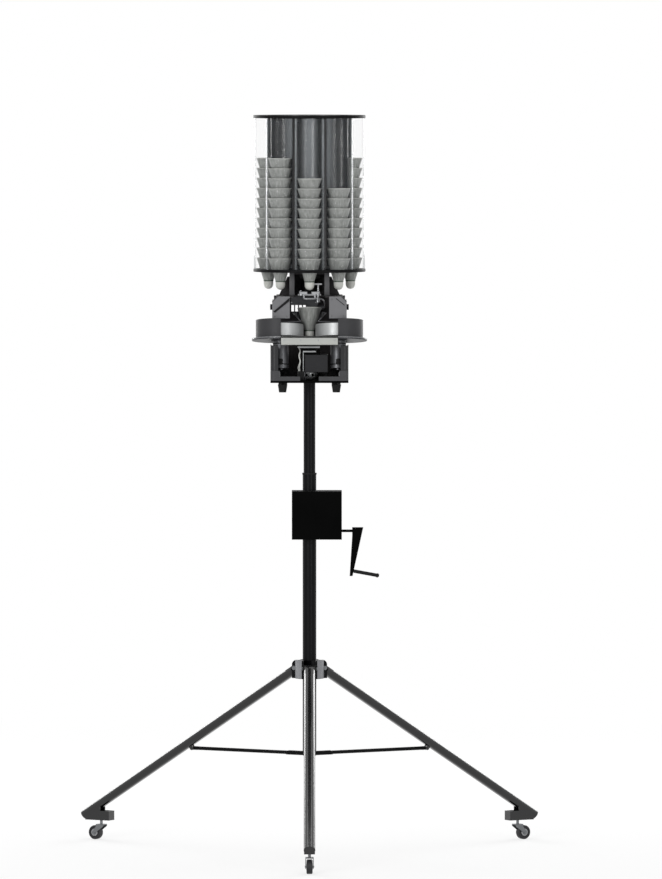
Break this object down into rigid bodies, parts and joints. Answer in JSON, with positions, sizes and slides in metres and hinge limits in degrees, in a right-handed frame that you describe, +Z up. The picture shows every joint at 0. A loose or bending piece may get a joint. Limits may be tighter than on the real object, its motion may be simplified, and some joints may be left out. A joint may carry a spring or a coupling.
{
  "type": "badminton serving machine",
  "caption": "Shuttlecock launcher on a crank-up mast: turning hopper of clear tubes over two throwing wheels, on a folding tripod with casters.",
  "frame": {"origin": "on the floor, under the middle of the outline seen from above", "axes": "+Z up along the mast, the shuttles leave toward -Y, +X is the side of the crank"},
  "size_m": [1.3056, 1.134, 2.07],
  "materials": {
    "mast_black": "semi-gloss black powder coat on steel tube",
    "leg_black": "gloss black paint on oval steel tube",
    "box_black": "satin black paint on folded sheet",
    "hub_gray": "gray painted casting",
    "cheek_gray": "mid-gray satin powder coat",
    "panel_dark": "dark gray satin powder coat",
    "bright_steel": "bare steel",
    "flange_metal": "machined aluminium plate",
    "lip_pale": "pale gray moulded lip",
    "wheel_silver": "brushed aluminium rim",
    "nylon_white": "white nylon bush",
    "bronze": "sintered bronze bush",
    "black_plastic": "moulded black plastic",
    "rubber_black": "black rubber",
    "caster_tyre": "dark gray moulded caster wheel",
    "smoke": "smoked acrylic core",
    "clear_tube": "clear acrylic tube",
    "shuttle_white": "off-white shuttlecock skirts and corks",
    "wire_pale": "pale cable insulation"
  },
  "bodies": {
    "stand": {"mast_outer": "mast_black", "mast_top_bush": "black_plastic", "leg_hub": "hub_gray", "leg_pivot_bolts": "bright_steel", "winch_housing": "box_black", "winch_cover": "box_black", "winch_bushes": "bronze"},
    "spreader": {"spreader": "leg_black"},
    "rack_pinion": {"rack_pinion": "bright_steel"},
    "crank": {"crank_shaft": "bright_steel", "crank_arm": "box_black"},
    "crank_grip": {"crank_grip": "black_plastic"},
    "mast_inner": {"mast_inner": "mast_black", "mast_rack": "bright_steel", "mast_glide_bush": "nylon_white"},
    "head": {"head_socket": "cheek_gray", "base_plate": "box_black", "base_tray": "panel_dark", "left_side_panel": "panel_dark", "right_side_panel": "panel_dark", "rear_panel": "panel_dark", "rubber_feet": "rubber_black", "control_box": "panel_dark", "power_inlet": "black_plastic", "motor_wiring": "wire_pale", "left_cheek": "cheek_gray", "right_cheek": "cheek_gray", "tilt_bolts": "black_plastic", "feed_tower": "panel_dark", "hopper_motor": "black_plastic", "feed_motor": "bright_steel", "claw_bracket": "bright_steel"},
    "claw_left": {"claw_left": "bright_steel"},
    "claw_right": {"claw_right": "bright_steel"},
    "throw_unit": {"funnel": "cheek_gray", "throw_base": "flange_metal", "front_lip": "lip_pale", "wheel_guards": "panel_dark", "throw_motors": "cheek_gray", "loaded_shuttle": "shuttle_white"},
    "throw_wheel_left": {"throw_wheel_left": "wheel_silver"},
    "throw_wheel_right": {"throw_wheel_right": "wheel_silver"},
    "hopper": {"hopper_base_disc": "black_plastic", "hopper_top_disc": "black_plastic", "hopper_core": "smoke", "hopper_tubes": "clear_tube", "shuttle_stacks": "shuttle_white", "top_shuttles": "shuttle_white"},
    "leg_front": {"leg_front": "leg_black"},
    "brace_front": {"brace_front": "leg_black"},
    "caster_fork_front": {"caster_fork_front": "bright_steel"},
    "caster_wheel_front": {"caster_wheel_front": "caster_tyre"},
    "leg_right": {"leg_right": "leg_black"},
    "brace_right": {"brace_right": "leg_black"},
    "caster_fork_right": {"caster_fork_right": "bright_steel"},
    "caster_wheel_right": {"caster_wheel_right": "caster_tyre"},
    "leg_left": {"leg_left": "leg_black"},
    "brace_left": {"brace_left": "leg_black"},
    "caster_fork_left": {"caster_fork_left": "bright_steel"},
    "caster_wheel_left": {"caster_wheel_left": "caster_tyre"}
  },
  "joints": [
    {"name": "leg_front_fold", "type": "hinge", "parent": "stand", "child": "leg_front", "pos_m": [0, 0.14367, 0.515], "axis": [1, 0, 0], "range_deg": [0, 45]},
    {"name": "brace_front_fold", "type": "hinge", "parent": "leg_front", "child": "brace_front", "pos_m": [0, -0.20133, 0.27401], "axis": [1, 0, 0], "range_deg": [-126.59, 0]},
    {"name": "caster_front_swivel", "type": "hinge", "parent": "leg_front", "child": "caster_fork_front", "pos_m": [0, -0.50433, 0.05], "axis": [0, 0, 1], "continuous": true},
    {"name": "caster_front_roll", "type": "hinge", "parent": "caster_fork_front", "child": "caster_wheel_front", "pos_m": [0, -0.52273, 0.02], "axis": [1, 0, 0], "continuous": true},
    {"name": "leg_right_fold", "type": "hinge", "parent": "stand", "child": "leg_right", "pos_m": [0.03291, 0.20067, 0.515], "axis": [-0.5, 0.866, 0], "range_deg": [0, 45]},
    {"name": "brace_right_fold", "type": "hinge", "parent": "leg_right", "child": "brace_right", "pos_m": [0.33169, 0.37317, 0.27401], "axis": [-0.5, 0.866, 0], "range_deg": [-126.59, 0]},
    {"name": "caster_right_swivel", "type": "hinge", "parent": "leg_right", "child": "caster_fork_right", "pos_m": [0.59409, 0.52467, 0.05], "axis": [0, 0, 1], "continuous": true},
    {"name": "caster_right_roll", "type": "hinge", "parent": "caster_fork_right", "child": "caster_wheel_right", "pos_m": [0.61003, 0.53387, 0.02], "axis": [-0.5, 0.866, 0], "continuous": true},
    {"name": "leg_left_fold", "type": "hinge", "parent": "stand", "child": "leg_left", "pos_m": [-0.03291, 0.20067, 0.515], "axis": [-0.5, -0.866, 0], "range_deg": [0, 45]},
    {"name": "brace_left_fold", "type": "hinge", "parent": "leg_left", "child": "brace_left", "pos_m": [-0.33169, 0.37317, 0.27401], "axis": [-0.5, -0.866, 0], "range_deg": [-126.59, 0]},
    {"name": "caster_left_swivel", "type": "hinge", "parent": "leg_left", "child": "caster_fork_left", "pos_m": [-0.59409, 0.52467, 0.05], "axis": [0, 0, 1], "continuous": true},
    {"name": "caster_left_roll", "type": "hinge", "parent": "caster_fork_left", "child": "caster_wheel_left", "pos_m": [-0.61003, 0.53387, 0.02], "axis": [-0.5, -0.866, 0], "continuous": true},
    {"name": "spreader_slide", "type": "slide", "parent": "stand", "child": "spreader", "axis": [0, 0, 1], "range_m": [-0.48804, 0]},
    {"name": "mast_lift", "type": "slide", "parent": "stand", "child": "mast_inner", "axis": [0, 0, 1], "range_m": [0, 0.53]},
    {"name": "rack_pinion_turn", "type": "hinge", "parent": "stand", "child": "rack_pinion", "pos_m": [0, 0.15417, 0.939], "axis": [1, 0, 0], "continuous": true},
    {"name": "crank_turn", "type": "hinge", "parent": "stand", "child": "crank", "pos_m": [0, 0.15417, 0.903], "axis": [1, 0, 0], "continuous": true},
    {"name": "grip_spin", "type": "hinge", "parent": "crank", "child": "crank_grip", "pos_m": [0.1234, 0.15417, 0.79], "axis": [0.9836, 0, -0.1805], "continuous": true},
    {"name": "head_turn", "type": "hinge", "parent": "mast_inner", "child": "head", "pos_m": [0, 0.18167, 1.345], "axis": [0, 0, 1], "range_deg": [-60, 60]},
    {"name": "throw_tilt", "type": "hinge", "parent": "head", "child": "throw_unit", "pos_m": [0, 0.06667, 1.535], "axis": [1, 0, 0], "range_deg": [-8, 12]},
    {"name": "throw_wheel_left_spin", "type": "hinge", "parent": "throw_unit", "child": "throw_wheel_left", "pos_m": [-0.08, 0.0585, 1.4685], "axis": [0, 0.1219, 0.9925], "continuous": true},
    {"name": "throw_wheel_right_spin", "type": "hinge", "parent": "throw_unit", "child": "throw_wheel_right", "pos_m": [0.08, 0.0585, 1.4685], "axis": [0, 0.1219, 0.9925], "continuous": true},
    {"name": "claw_left_open", "type": "hinge", "parent": "head", "child": "claw_left", "pos_m": [-0.024, 0.09767, 1.5745], "axis": [0, 0, 1], "range_deg": [-45, 0]},
    {"name": "claw_right_open", "type": "hinge", "parent": "head", "child": "claw_right", "pos_m": [0.024, 0.09767, 1.5745], "axis": [0, 0, 1], "range_deg": [0, 45]},
    {"name": "hopper_turn", "type": "hinge", "parent": "head", "child": "hopper", "pos_m": [0, 0.18167, 1.631], "axis": [0, 0, 1], "continuous": true}
  ],
  "couplings": [
    {"joint": "brace_front_fold", "follows": "leg_front_fold", "ratio": -2.813},
    {"joint": "leg_right_fold", "follows": "leg_front_fold", "ratio": 1},
    {"joint": "brace_right_fold", "follows": "leg_front_fold", "ratio": -2.813},
    {"joint": "leg_left_fold", "follows": "leg_front_fold", "ratio": 1},
    {"joint": "brace_left_fold", "follows": "leg_front_fold", "ratio": -2.813},
    {"joint": "spreader_slide", "follows": "leg_front_fold", "m_per_rad": -0.62127},
    {"joint": "rack_pinion_turn", "follows": "mast_lift", "rad_per_m": 71.429},
    {"joint": "crank_turn", "follows": "mast_lift", "rad_per_m": -214.29},
    {"joint": "throw_wheel_right_spin", "follows": "throw_wheel_left_spin", "ratio": -1},
    {"joint": "claw_right_open", "follows": "claw_left_open", "ratio": -1}
  ]
}
